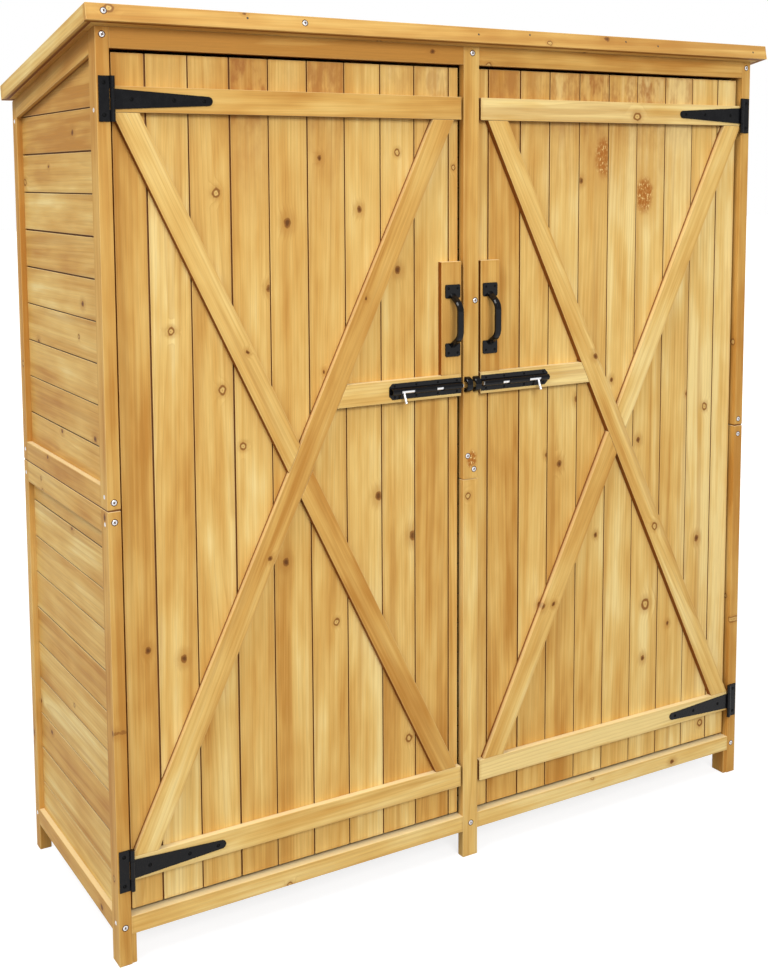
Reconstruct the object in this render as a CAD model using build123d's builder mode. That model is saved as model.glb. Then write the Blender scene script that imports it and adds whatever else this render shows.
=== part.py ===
from build123d import *
import math
import os

# Wooden tool shed with two ledged and braced doors, in millimetres.
# X runs along the front from left to right, Y runs from the front to the back, Z is up.
# The origin is on the ground, under the middle of the whole shed.

# Cabinet
body_width = 1349.0
body_depth = 457.0
ground_clearance = 50.0
seam_height = 739.0

# Posts and legs
corner_post_width = 21.5
corner_post_depth = 31.0
rear_post_depth = 22.0
middle_post_width = 32.0
middle_post_depth = 16.0

# Rails and boards of the side and rear walls
wall_rail_thickness = 10.0
wall_board_thickness = 10.0
bottom_rail_height = 29.5
seam_rail_height = 36.5
top_rail_height = 34.0

# Front rails and door stops
front_rail_depth = 20.0
front_top_rail_height = 31.8
stop_width = 8.5
stop_thickness = 7.0
stop_foot_setback = 2.0
stop_clearance = 5.0

# Floor
floor_thickness = 10.0
floor_top = 72.0
bearer_width = 40.0
floor_clearance = 0.5

# Roof
soffit_height_front = 1478.0
roof_slope = 10.9
roof_side_overhang = 20.4
roof_front_overhang = 24.4
roof_deck_thickness = 12.0
roof_frame_thickness = 14.3
roof_frame_width = 45.0
fascia_thickness = 11.0
roof_joint = 0.5

# Doors
door_gap = 5.0
door_bottom_gap = 5.5
door_board_thickness = 10.0
ledge_thickness = 12.0
ledge_height = 39.0
bottom_ledge_from_bottom = 73.0
middle_ledge_from_top = 555.0
top_ledge_from_top = 70.0
brace_width = 39.0
long_brace_foot_inset = 0.5
long_brace_head_inset = 15.0
cross_brace_foot_inset = 10.0
cross_brace_overrun = 3.0
brace_joint = 0.4
handle_block_width = 41.0
handle_block_height = 200.0

# T hinges
hinge_leaf_height = 68.0
hinge_leaf_thickness = 2.0
hinge_leaf_inset = 3.0
knuckle_radius = 3.7
knuckle_clearance = 0.5
knuckle_lift = 0.3
hinge_pin_radius = 2.0
hinge_pin_clearance = 0.1
strap_root_height = 31.0
strap_tip_radius = 7.0
strap_length = 162.0

# Barrel bolts and their keepers
bolt_plate_length = 149.0
bolt_plate_height = 28.0
bolt_plate_thickness = 1.5
bolt_plate_cut_corner = 6.5
bolt_radius = 4.0
bolt_clearance = 0.3
barrel_wall = 1.4
barrel_end_gap = 2.5
bolt_end_gap = 1.0
bolt_back_gap = 6.0
bolt_travel = 16.0
lever_radius = 2.6
lever_tip_radius = 1.6
lever_length = 23.0
lever_slant = 24.0
lever_from_back = 26.0
slot_margin = 3.0
window_from_back = 92.0
window_length = 15.0
slot_above_centre = 1.6
keeper_width = 12.4
keeper_edge_gap = 0.7
keeper_hole_clearance = 1.7
keeper_wall = 2.4
keeper_rim_chamfer = 1.6

# Pull handles
handle_reach = 30.0
handle_height = 127.0
handle_base_height = 24.0
handle_base_width = 31.0
handle_base_thickness = 2.5
handle_base_corner = 3.0
handle_above_ledge = 33.0
handle_from_door_edge = 19.0
grip_width = 12.0
grip_thickness = 8.5
grip_chamfer = 2.2
grip_root_inset = 19.0
grip_leg_slant = 17.0
grip_bend_radius = 20.0

# Places worked out from the sizes above
front_reach = max(handle_reach, roof_front_overhang)
front = (front_reach - body_depth) / 2
back = front + body_depth
left = -body_width / 2
slope_tangent = math.tan(math.radians(roof_slope))
wall_thickness = wall_rail_thickness + wall_board_thickness
side_boards_front = front + corner_post_depth
side_boards_back = back - rear_post_depth
rear_boards_back = back - wall_rail_thickness
rear_boards_front = rear_boards_back - wall_board_thickness
post_inner = left + corner_post_width
middle_left = -middle_post_width / 2
bottom_rail_top = ground_clearance + bottom_rail_height
slant_steps = 20


def soffit(y):
    """Height of the underside of the roof at a depth."""
    return soffit_height_front - (y - front + roof_front_overhang) * slope_tangent


def box(x_range, y_range, z_range, mode=Mode.ADD):
    """A block between two corners, joined to the part that is being made."""
    size = [high - low for low, high in (x_range, y_range, z_range)]
    centre = [(high + low) / 2 for low, high in (x_range, y_range, z_range)]
    with Locations(tuple(centre)):
        Box(*size, mode=mode)


def side_profile(y_range, bottom, top_of):
    """A face in the YZ plane whose top edge follows a height given by a function of depth."""
    low, high = y_range
    with BuildLine() as outline:
        Polyline((low, bottom), (high, bottom), (high, top_of(high)), (low, top_of(low)), close=True)
    make_face(outline.edges())


def finish(piece, name):
    """Labels a piece and writes it to its own file."""
    piece.part.label = name
    export_step(piece.part, f"parts/{name}.step")


def finish_pair(piece, name):
    """Writes a piece of the left side and its mirror image on the right side."""
    finish(piece, f"left_{name}")
    with BuildPart() as twin:
        mirror(piece.part, about=Plane.YZ)
    finish(twin, f"right_{name}")


os.makedirs("parts", exist_ok=True)

# Corner posts of the lower half
with BuildPart() as lower_posts:
    for y_range in ((front, side_boards_front), (side_boards_back, back)):
        box((left, post_inner), y_range, (0, seam_height))
finish_pair(lower_posts, "lower_posts")

# Corner posts of the upper half, cut to the roof's slope
with BuildPart() as upper_posts:
    with BuildSketch(Plane.YZ.offset(left)):
        for y_range in ((front, side_boards_front), (side_boards_back, back)):
            side_profile(y_range, seam_height, soffit)
    extrude(amount=corner_post_width)
finish_pair(upper_posts, "upper_posts")

# Side wall rails, flush with the posts
side_span = (side_boards_front, side_boards_back)
side_rail_x = (left, left + wall_rail_thickness)
with BuildPart() as lower_rails:
    box(side_rail_x, side_span, (ground_clearance, bottom_rail_top))
    box(side_rail_x, side_span, (seam_height - seam_rail_height, seam_height))
finish_pair(lower_rails, "lower_rails")

with BuildPart() as upper_rails:
    box(side_rail_x, side_span, (seam_height, seam_height + seam_rail_height))
    with BuildSketch(Plane.YZ.offset(left)):
        with BuildLine():
            Polyline(
                (side_span[0], soffit(side_span[0])),
                (side_span[1], soffit(side_span[1])),
                (side_span[1], soffit(side_span[1]) - top_rail_height),
                (side_span[0], soffit(side_span[0]) - top_rail_height),
                close=True,
            )
        make_face()
    extrude(amount=wall_rail_thickness)
finish_pair(upper_rails, "upper_rails")

# Side wall boards, set back behind the rails
with BuildPart() as lower_boards:
    box((left + wall_rail_thickness, left + wall_thickness), side_span, (ground_clearance, seam_height))
finish_pair(lower_boards, "lower_boards")

with BuildPart() as upper_boards:
    with BuildSketch(Plane.YZ.offset(left + wall_rail_thickness)):
        side_profile(side_span, seam_height, soffit)
    extrude(amount=wall_board_thickness)
finish_pair(upper_boards, "upper_boards")

# Rear wall, made like the side walls
rear_span = (post_inner, -post_inner)
rear_rail_y = (rear_boards_back, back)
with BuildPart() as rear_lower_rails:
    box(rear_span, rear_rail_y, (ground_clearance, bottom_rail_top))
    box(rear_span, rear_rail_y, (seam_height - seam_rail_height, seam_height))
finish(rear_lower_rails, "rear_lower_rails")

with BuildPart() as rear_upper_rails:
    box(rear_span, rear_rail_y, (seam_height, seam_height + seam_rail_height))
    with BuildSketch(Plane.YZ.offset(post_inner)):
        side_profile(rear_rail_y, soffit(back) - top_rail_height, soffit)
    extrude(amount=rear_span[1] - rear_span[0])
finish(rear_upper_rails, "rear_upper_rails")

with BuildPart() as rear_lower_boards:
    box(rear_span, (rear_boards_front, rear_boards_back), (ground_clearance, seam_height))
finish(rear_lower_boards, "rear_lower_boards")

with BuildPart() as rear_upper_boards:
    with BuildSketch(Plane.YZ.offset(post_inner)):
        side_profile((rear_boards_front, rear_boards_back), seam_height, soffit)
    extrude(amount=rear_span[1] - rear_span[0])
finish(rear_upper_boards, "rear_upper_boards")

# Middle post between the doors, which also stands on the ground
with BuildPart() as middle_post:
    with BuildSketch(Plane.YZ.offset(middle_left)):
        side_profile((front, front + middle_post_depth), 0, soffit)
    extrude(amount=middle_post_width)
finish(middle_post, "middle_post")

# Front rails under and over each door
front_rail_y = (front, front + front_rail_depth)
front_top_rail_bottom = soffit(front) - front_top_rail_height
with BuildPart() as front_rails:
    box((post_inner, middle_left), front_rail_y, (ground_clearance, bottom_rail_top))
    with BuildSketch(Plane.YZ.offset(post_inner)):
        side_profile(front_rail_y, front_top_rail_bottom, soffit)
    extrude(amount=middle_left - post_inner)
    mirror(about=Plane.YZ)
finish(front_rails, "front_rails")

# Door stops beside the corner posts, with a foot that comes forward under the rail
door_back = front + ledge_thickness + door_board_thickness
stop_front = door_back + stop_clearance
stop_back = stop_front + stop_thickness
with BuildPart() as door_stops:
    with BuildSketch(Plane.YZ.offset(post_inner)):
        with BuildLine():
            Polyline(
                (front + stop_foot_setback, 0),
                (stop_back, 0),
                (stop_back, front_top_rail_bottom),
                (stop_front, front_top_rail_bottom),
                (stop_front, ground_clearance),
                (front + stop_foot_setback, ground_clearance),
                close=True,
            )
        make_face()
    extrude(amount=stop_width)
    mirror(about=Plane.YZ)
finish(door_stops, "door_stops")

# Floor on two bearers between the side walls
floor_bottom = floor_top - floor_thickness
floor_y = (front + front_rail_depth, rear_boards_front)
with BuildPart() as floor_panel:
    with BuildSketch(Plane.XY.offset(floor_bottom)):
        with Locations((0, sum(floor_y) / 2)):
            Rectangle(-2 * left - 2 * wall_thickness, floor_y[1] - floor_y[0])
        corner_x = post_inner + stop_width + floor_clearance
        for side in (-1, 1):
            with Locations((side * (left + corner_x) / 2, (front + stop_back + floor_clearance) / 2)):
                Rectangle(corner_x - left, stop_back + floor_clearance - front, mode=Mode.SUBTRACT)
            with Locations((side * (left + post_inner) / 2, (side_boards_back + back) / 2)):
                Rectangle(
                    corner_post_width + 2 * floor_clearance,
                    rear_post_depth + 2 * floor_clearance,
                    mode=Mode.SUBTRACT,
                )
    extrude(amount=floor_thickness)
finish(floor_panel, "floor_panel")

with BuildPart() as floor_bearers:
    bearer_x = (left + wall_thickness, -left - wall_thickness)
    bearer_z = (ground_clearance, floor_bottom)
    bearer_front = stop_back + floor_clearance
    bearer_back = side_boards_back - floor_clearance
    box(bearer_x, (bearer_front, bearer_front + bearer_width), bearer_z)
    box(bearer_x, (bearer_back - bearer_width, bearer_back), bearer_z)
finish(floor_bearers, "floor_bearers")

# Roof panel, drawn flat on the sloped soffit plane: its X is the shed's, its Y runs down the slope
roof_start = front - roof_front_overhang
roof_thickness = roof_frame_thickness + roof_deck_thickness
slope_angle = math.radians(roof_slope)
roof_length = (back - roof_start - roof_thickness * math.sin(slope_angle)) / math.cos(slope_angle)
roof_width = body_width + 2 * roof_side_overhang
soffit_plane = Plane(
    origin=(0, roof_start, soffit_height_front),
    x_dir=(1, 0, 0),
    z_dir=(0, math.sin(slope_angle), math.cos(slope_angle)),
)
inner_half = roof_width / 2 - fascia_thickness

with BuildPart() as roof_deck:
    with BuildSketch(soffit_plane.offset(roof_frame_thickness)):
        with Locations((0, roof_length / 2)):
            Rectangle(2 * inner_half, roof_length - 2 * fascia_thickness)
    extrude(amount=roof_deck_thickness)
finish(roof_deck, "roof_deck")

with BuildPart() as roof_frame:
    with BuildSketch(soffit_plane):
        for bar_y in (fascia_thickness, roof_length - fascia_thickness - roof_frame_width):
            with Locations((0, bar_y + roof_frame_width / 2)):
                Rectangle(2 * inner_half, roof_frame_width)
        side_bar = roof_length - 2 * (fascia_thickness + roof_frame_width + roof_joint)
        for side in (-1, 1):
            with Locations((side * (inner_half - roof_frame_width / 2), roof_length / 2)):
                Rectangle(roof_frame_width, side_bar)
    extrude(amount=roof_frame_thickness)
finish(roof_frame, "roof_frame")

with BuildPart() as front_fascia:
    with BuildSketch(soffit_plane):
        with Locations((0, fascia_thickness / 2)):
            Rectangle(roof_width, fascia_thickness)
    extrude(amount=roof_thickness)
finish(front_fascia, "front_fascia")

with BuildPart() as rear_fascia:
    with BuildSketch(soffit_plane):
        with Locations((0, roof_length - fascia_thickness / 2)):
            Rectangle(roof_width, fascia_thickness)
    extrude(amount=roof_thickness)
finish(rear_fascia, "rear_fascia")

with BuildPart() as side_fascias:
    with BuildSketch(soffit_plane):
        for side in (-1, 1):
            with Locations((side * (roof_width - fascia_thickness) / 2, roof_length / 2)):
                Rectangle(fascia_thickness, roof_length - 2 * fascia_thickness)
    extrude(amount=roof_thickness)
finish(side_fascias, "side_fascias")

# Door leaf: vertical boards behind ledges and braces that are flush with the posts
door_outer = post_inner + door_gap
door_inner = middle_left - door_gap
door_bottom = bottom_rail_top + door_bottom_gap
door_top = front_top_rail_bottom - door_gap
door_face = front + ledge_thickness
bottom_ledge_centre = door_bottom + bottom_ledge_from_bottom
middle_ledge_centre = door_top - middle_ledge_from_top
top_ledge_centre = door_top - top_ledge_from_top
with BuildPart() as door_boards:
    box((door_outer, door_inner), (door_face, door_back), (door_bottom, door_top))
finish_pair(door_boards, "door_boards")

# The long brace rises from the hinge side's foot to the lock side's head, and the other one crosses it
brace_bottom = bottom_ledge_centre + ledge_height / 2 + brace_joint
brace_top = top_ledge_centre - ledge_height / 2 - brace_joint
brace_rise = brace_top - brace_bottom
long_left = door_outer + long_brace_foot_inset
long_right = door_inner - long_brace_head_inset
cross_left = door_outer - cross_brace_overrun
cross_right = door_inner - cross_brace_foot_inset


def brace_slant(run, rise, width):
    """Horizontal width of a slanted brace that reaches across a run with its own width inside it."""
    horizontal = width
    for _ in range(slant_steps):
        horizontal = width * math.hypot(run - horizontal, rise) / rise
    return horizontal


long_horizontal = brace_slant(long_right - long_left, brace_rise, brace_width)
long_lean = (long_right - long_left - long_horizontal) / brace_rise
cross_horizontal = brace_slant(cross_right - cross_left, brace_rise, brace_width)


def long_brace_edge(z, side):
    """X of the left (side 0) or right (side 1) edge of the long brace at a height."""
    return long_left + side * long_horizontal + (z - brace_bottom) * long_lean


def front_shape(*points, mode=Mode.ADD):
    """A face in the front plane from points given as X and Z."""
    with BuildLine() as outline:
        Polyline(*points, close=True)
    make_face(outline.edges(), mode=mode)


ledge_plane = Plane(origin=(0, front, 0), x_dir=(1, 0, 0), z_dir=(0, -1, 0))
ledge_low = middle_ledge_centre - ledge_height / 2
ledge_high = middle_ledge_centre + ledge_height / 2
with BuildPart() as door_ledges:
    with BuildSketch(ledge_plane):
        for centre in (bottom_ledge_centre, top_ledge_centre):
            with Locations(((door_outer + door_inner) / 2, centre)):
                Rectangle(door_inner - door_outer, ledge_height)
        front_shape(
            (long_brace_edge(ledge_low, 1) + brace_joint, ledge_low),
            (door_inner, ledge_low),
            (door_inner, ledge_high),
            (long_brace_edge(ledge_high, 1) + brace_joint, ledge_high),
        )
    extrude(amount=-ledge_thickness)
finish_pair(door_ledges, "door_ledges")


def long_brace_shape(margin, mode=Mode.ADD):
    """The long brace's outline, widened on both edges by a margin."""
    front_shape(
        (long_brace_edge(brace_bottom, 0) - margin, brace_bottom),
        (long_brace_edge(brace_bottom, 1) + margin, brace_bottom),
        (long_brace_edge(brace_top, 1) + margin, brace_top),
        (long_brace_edge(brace_top, 0) - margin, brace_top),
        mode=mode,
    )


# The cross brace is trimmed at the door's edge and is in two pieces that meet the long one's edges
with BuildPart() as door_braces:
    with BuildSketch(ledge_plane):
        front_shape(
            (cross_left, brace_top),
            (cross_left + cross_horizontal, brace_top),
            (cross_right, brace_bottom),
            (cross_right - cross_horizontal, brace_bottom),
        )
        with Locations(((door_outer + door_inner) / 2, (brace_bottom + brace_top) / 2)):
            Rectangle(door_inner - door_outer, brace_rise, mode=Mode.INTERSECT)
        long_brace_shape(brace_joint, mode=Mode.SUBTRACT)
    extrude(amount=-ledge_thickness)
    with BuildSketch(ledge_plane):
        long_brace_shape(0)
    extrude(amount=-ledge_thickness)
finish_pair(door_braces, "door_braces")

# Block over the middle ledge that carries the pull handle
block_x = (door_inner - handle_block_width, door_inner)
with BuildPart() as handle_block:
    box(block_x, (front, door_face), (ledge_high, ledge_high + handle_block_height))
finish_pair(handle_block, "handle_block")

# Pull handle: a bar with bevelled edges that bends twice between its slanted legs, on two flat bases
handle_x = door_inner - handle_from_door_edge
handle_bottom = ledge_high + handle_above_ledge
handle_top = handle_bottom + handle_height
handle_middle = (handle_bottom + handle_top) / 2
bar_y = front - handle_reach + grip_thickness / 2
root_half = handle_height / 2 - grip_root_inset
bend_half = root_half - grip_leg_slant
leg_slope = grip_leg_slant / (front - bar_y)
hidden_half = root_half + grip_thickness * leg_slope
with BuildPart() as handle:
    with BuildLine(Plane.YZ.offset(handle_x)) as grip_path:
        FilletPolyline(
            (front + grip_thickness, handle_middle - hidden_half),
            (bar_y, handle_middle - bend_half),
            (bar_y, handle_middle + bend_half),
            (front + grip_thickness, handle_middle + hidden_half),
            radius=grip_bend_radius,
        )
    with BuildSketch(Plane(origin=grip_path.line @ 0, x_dir=(1, 0, 0), z_dir=grip_path.line % 0)) as grip_section:
        Rectangle(grip_width, grip_thickness)
        chamfer(grip_section.vertices(), grip_chamfer)
    sweep()
    split(bisect_by=ledge_plane, keep=Keep.TOP)
    with BuildSketch(ledge_plane):
        for base_middle in (handle_bottom + handle_base_height / 2, handle_top - handle_base_height / 2):
            with Locations((handle_x, base_middle)):
                RectangleRounded(handle_base_width, handle_base_height, handle_base_corner)
    extrude(amount=handle_base_thickness)
finish_pair(handle, "handle")

# T hinges: a leaf on the post, a strap on the ledge and a pin through their knuckles
hinge_x = (post_inner + door_outer) / 2
hinge_y = front - knuckle_radius - knuckle_lift
leaf_x = left + hinge_leaf_inset
strap_half = strap_root_height / 2
leaf_half = hinge_leaf_height / 2
strap_end_x = hinge_x + strap_length - strap_tip_radius
with BuildPart() as hinge_leaves:
    for centre in (bottom_ledge_centre, top_ledge_centre):
        leaf_y = (front - hinge_leaf_thickness, front)
        box((leaf_x, hinge_x), leaf_y, (centre - leaf_half, centre + leaf_half))
        notch = strap_half + knuckle_clearance
        box(
            (hinge_x - knuckle_radius - knuckle_clearance, hinge_x),
            leaf_y,
            (centre - notch, centre + notch),
            mode=Mode.SUBTRACT,
        )
        for low, high in ((-leaf_half, -notch), (notch, leaf_half)):
            with BuildSketch(Plane.XY.offset(centre + low)):
                with Locations((hinge_x, hinge_y)):
                    Circle(knuckle_radius)
            extrude(amount=high - low)
        with BuildSketch(Plane.XY.offset(centre - leaf_half)):
            with Locations((hinge_x, hinge_y)):
                Circle(hinge_pin_radius)
        extrude(amount=hinge_leaf_height)
    mirror(about=Plane.YZ)
finish(hinge_leaves, "hinge_leaves")

with BuildPart() as hinge_straps:
    for centre in (bottom_ledge_centre, top_ledge_centre):
        with BuildSketch(ledge_plane):
            front_shape(
                (hinge_x, centre - strap_half),
                (strap_end_x, centre - strap_tip_radius),
                (strap_end_x, centre + strap_tip_radius),
                (hinge_x, centre + strap_half),
            )
            with Locations((strap_end_x, centre)):
                Circle(strap_tip_radius)
        extrude(amount=hinge_leaf_thickness)
        with BuildSketch(Plane.XY.offset(centre - strap_half)):
            with Locations((hinge_x, hinge_y)):
                Circle(knuckle_radius)
        extrude(amount=strap_root_height)
        with BuildSketch(Plane.XY.offset(centre - strap_half)):
            with Locations((hinge_x, hinge_y)):
                Circle(hinge_pin_radius + hinge_pin_clearance)
        extrude(amount=strap_root_height, mode=Mode.SUBTRACT)
finish_pair(hinge_straps, "hinge_straps")

# Barrel bolt: a plate with a slotted barrel that the bolt slides in
plate_x = (door_inner - bolt_end_gap / 2 - bolt_plate_length, door_inner - bolt_end_gap / 2)
plate_half = bolt_plate_height / 2
bolt_z = middle_ledge_centre
barrel_inner = bolt_radius + bolt_clearance
barrel_outer = barrel_inner + barrel_wall
bolt_y = front - bolt_plate_thickness - barrel_inner
plate_face = front - bolt_plate_thickness
lever_x = plate_x[0] + lever_from_back
with BuildPart() as bolt_housing:
    with BuildSketch(ledge_plane):
        front_shape(
            (plate_x[0], bolt_z - plate_half + bolt_plate_cut_corner),
            (plate_x[0] + bolt_plate_cut_corner, bolt_z - plate_half),
            (plate_x[1], bolt_z - plate_half),
            (plate_x[1], bolt_z + plate_half),
            (plate_x[0] + bolt_plate_cut_corner, bolt_z + plate_half),
            (plate_x[0], bolt_z + plate_half - bolt_plate_cut_corner),
        )
    extrude(amount=bolt_plate_thickness)
    barrel_x = (plate_x[0] + barrel_end_gap, plate_x[1] - barrel_end_gap)
    with BuildSketch(Plane.YZ.offset(barrel_x[0])):
        with Locations((bolt_y, bolt_z)):
            Circle(barrel_outer)
        with Locations(((bolt_y + plate_face) / 2, bolt_z)):
            Rectangle(plate_face - bolt_y, 2 * barrel_outer)
        with Locations((bolt_y, bolt_z)):
            Circle(barrel_inner, mode=Mode.SUBTRACT)
        with Locations(((bolt_y + plate_face) / 2, bolt_z)):
            Rectangle(plate_face - bolt_y, 2 * barrel_inner, mode=Mode.SUBTRACT)
    extrude(amount=barrel_x[1] - barrel_x[0])
    slot_y = (bolt_y - barrel_outer - slot_margin, plate_face)
    slot_z = (bolt_z - barrel_outer - slot_margin, bolt_z + slot_above_centre)
    slot_start = lever_x - lever_radius - slot_margin
    slot_end = lever_x + bolt_travel + lever_radius + slot_margin
    box((slot_start, slot_end), slot_y, slot_z, mode=Mode.SUBTRACT)
    window_start = plate_x[0] + window_from_back
    box((window_start, window_start + window_length), slot_y, slot_z, mode=Mode.SUBTRACT)
finish_pair(bolt_housing, "bolt_housing")

# The bolt with its lever, drawn back as in an unlocked door
bolt_tip = door_inner - bolt_end_gap
bolt_back = barrel_x[0] + bolt_back_gap
lever_direction = Vector(
    0, -math.sin(math.radians(lever_slant)), -math.cos(math.radians(lever_slant))
)
with BuildPart() as bolt:
    with BuildSketch(Plane.YZ.offset(bolt_back)):
        with Locations((bolt_y, bolt_z)):
            Circle(bolt_radius)
    extrude(amount=bolt_tip - bolt_back)
    with BuildSketch(Plane(origin=(lever_x, bolt_y, bolt_z), x_dir=(1, 0, 0), z_dir=lever_direction)):
        Circle(lever_radius)
    extrude(amount=lever_length)
    lever_tip = bolt.edges().filter_by(GeomType.CIRCLE).sort_by(Axis.Z)[0]
    fillet(lever_tip, lever_tip_radius)
finish_pair(bolt, "bolt")

# Keepers on the middle post, one for each bolt: round-fronted loops that the bolt slides into
keeper_x = middle_left + keeper_edge_gap
keeper_inner = bolt_radius + keeper_hole_clearance
keeper_front = bolt_y - keeper_inner - keeper_wall
with BuildPart() as bolt_keepers:
    with BuildSketch(Plane.YZ.offset(keeper_x)):
        with BuildLine():
            keeper_arc = ThreePointArc(
                (front, bolt_z - plate_half), (keeper_front, bolt_z), (front, bolt_z + plate_half)
            )
            Line(keeper_arc @ 1, keeper_arc @ 0)
        make_face()
    extrude(amount=keeper_width)
    chamfer(bolt_keepers.edges().filter_by(GeomType.CIRCLE), keeper_rim_chamfer)
    with BuildSketch(Plane.YZ.offset(keeper_x)):
        with Locations((bolt_y, bolt_z)):
            Circle(keeper_inner)
        with Locations((bolt_y + keeper_inner, bolt_z)):
            Rectangle(2 * keeper_inner, 2 * keeper_inner)
    extrude(amount=keeper_width, mode=Mode.SUBTRACT)
    mirror(about=Plane.YZ)
finish(bolt_keepers, "bolt_keepers")
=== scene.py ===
import math
import random

import bmesh
import bpy
from mathutils import Matrix, Vector


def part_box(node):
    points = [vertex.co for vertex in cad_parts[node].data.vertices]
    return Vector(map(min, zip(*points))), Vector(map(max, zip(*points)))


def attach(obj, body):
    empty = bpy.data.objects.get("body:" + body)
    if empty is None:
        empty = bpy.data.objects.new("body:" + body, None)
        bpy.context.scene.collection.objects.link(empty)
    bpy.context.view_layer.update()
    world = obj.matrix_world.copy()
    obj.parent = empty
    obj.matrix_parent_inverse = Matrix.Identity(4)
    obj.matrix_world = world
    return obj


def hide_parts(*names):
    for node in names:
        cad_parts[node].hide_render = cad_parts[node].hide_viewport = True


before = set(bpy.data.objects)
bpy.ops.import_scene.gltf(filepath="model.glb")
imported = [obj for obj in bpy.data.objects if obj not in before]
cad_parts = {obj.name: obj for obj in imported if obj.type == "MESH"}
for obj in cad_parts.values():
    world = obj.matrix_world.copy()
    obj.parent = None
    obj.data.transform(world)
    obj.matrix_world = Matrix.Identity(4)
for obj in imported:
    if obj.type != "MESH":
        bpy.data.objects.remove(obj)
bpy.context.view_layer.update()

# Lengths are in metres. X runs along the front, Y from the front to the back, Z is up.
MM = 0.001

# Places on the shed
LEFT = -0.6745
FRONT = -0.2135
BACK = 0.2435
SEAM = 0.739
POST_JOINT = 0.709
ROOF_SLOPE = math.radians(10.9)
DOWN_SLOPE = Vector((0, math.cos(ROOF_SLOPE), -math.sin(ROOF_SLOPE)))
ACROSS = Vector((1, 0, 0))
DEEP_AXIS = Vector((0, 1, 0))
UP = Vector((0, 0, 1))
OUT_FRONT = Vector((0, -1, 0))
SIDES = (("left", -1), ("right", 1))

# Boards
DOOR_SEAMS = {
    "left": (-0.594, -0.5245, -0.4545, -0.387, -0.317, -0.2475, -0.1785, -0.111, -0.0405),
    "right": (0.0445, 0.115, 0.1815, 0.251, 0.321, 0.391, 0.462, 0.532, 0.5995),
}
DOOR_GAPS_MM = {
    "left": (2.8, 2.0, 2.8, 1.8, 2.2, 1.9, 2.0, 2.0, 2.4),
    "right": (2.6, 2.8, 2.0, 1.7, 1.9, 1.5, 2.0, 1.6, 2.2),
}
LEFT_DOOR_START = -0.647
LOWER_SEAMS = (0.132, 0.199, 0.266, 0.333, 0.400, 0.467, 0.534, 0.601, 0.668)
UPPER_SEAMS = (0.830, 0.8958, 0.9616, 1.0274, 1.0932, 1.159, 1.2248, 1.2906, 1.3564)
BOARD_PITCH = 0.067
BOARD_GAP = 2.3 * MM
GAP_SPREAD = 0.25
HALF_GAP = 2.6 * MM
HALF_INSET = 1.2 * MM
POST_GAP = 0.8 * MM
BOARD_EDGE = 0.9 * MM
BEAM_EDGE = 0.9 * MM
TONGUE_HALF_WIDTH = 4.0 * MM
TONGUE_SHARE = 0.34
TONGUE_INSET = 0.5 * MM
WELD = 0.01 * MM
FLAT_ANGLE = math.radians(1.0)
SHARP_ANGLE = math.radians(30.0)
ROUND_PROFILE = 0.5


# Mesh helpers

def middle_of(mesh):
    """The mean of a mesh's points."""
    return sum((v.co for v in mesh.verts), Vector()) / len(mesh.verts)


def span_of(verts, axis):
    """The lowest and the highest place of some points along an axis."""
    places = [axis.dot(v.co) for v in verts]
    return min(places), max(places)


def show(name, data):
    """Makes an object of its data and puts it in the scene."""
    thing = bpy.data.objects.new(name, data)
    bpy.context.scene.collection.objects.link(thing)
    return thing


def solids_of(node):
    """The solids of a CAD node as separate welded meshes with whole flat faces."""
    whole = bmesh.new()
    whole.from_mesh(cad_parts[node].data)
    bmesh.ops.remove_doubles(whole, verts=whole.verts, dist=WELD)
    bmesh.ops.dissolve_limit(
        whole, angle_limit=FLAT_ANGLE, verts=whole.verts, edges=whole.edges
    )
    whole.verts.ensure_lookup_table()
    found = []
    left = set(range(len(whole.verts)))
    while left:
        first = min(left)
        island, waiting = {first}, [first]
        while waiting:
            vert = whole.verts[waiting.pop()]
            for edge in vert.link_edges:
                other = edge.other_vert(vert).index
                if other not in island:
                    island.add(other)
                    waiting.append(other)
        left -= island
        part = whole.copy()
        part.verts.ensure_lookup_table()
        away = [v for v in part.verts if v.index not in island]
        bmesh.ops.delete(part, geom=away, context="VERTS")
        found.append(part)
    whole.free()
    return found


def cut(mesh, point, inward):
    """Cuts a closed mesh at a plane, keeps the side that inward points to and closes the cut."""
    everything = mesh.verts[:] + mesh.edges[:] + mesh.faces[:]
    made = bmesh.ops.bisect_plane(
        mesh, geom=everything, plane_co=point, plane_no=inward, clear_inner=True, dist=WELD
    )
    rim = [part for part in made["geom_cut"] if isinstance(part, bmesh.types.BMEdge)]
    bmesh.ops.edgeloop_fill(mesh, edges=rim)
    bmesh.ops.recalc_face_normals(mesh, faces=mesh.faces[:])


def between(panel, axis, low, high):
    """A copy of a panel cut off at two distances along an axis."""
    part = panel.copy()
    if low is not None:
        cut(part, axis * low, axis)
    if high is not None:
        cut(part, axis * high, -axis)
    return part


def split_foot(mesh, height):
    """Cuts a mesh off at a height, and returns the slice below it drawn in from its sides."""
    foot = between(mesh, UP, None, height)
    centre = middle_of(foot)
    for vert in foot.verts:
        vert.co.x -= math.copysign(HALF_INSET, vert.co.x - centre.x)
        vert.co.y -= math.copysign(HALF_INSET, vert.co.y - centre.y)
    cut(mesh, UP * height, UP)
    return foot


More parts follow.
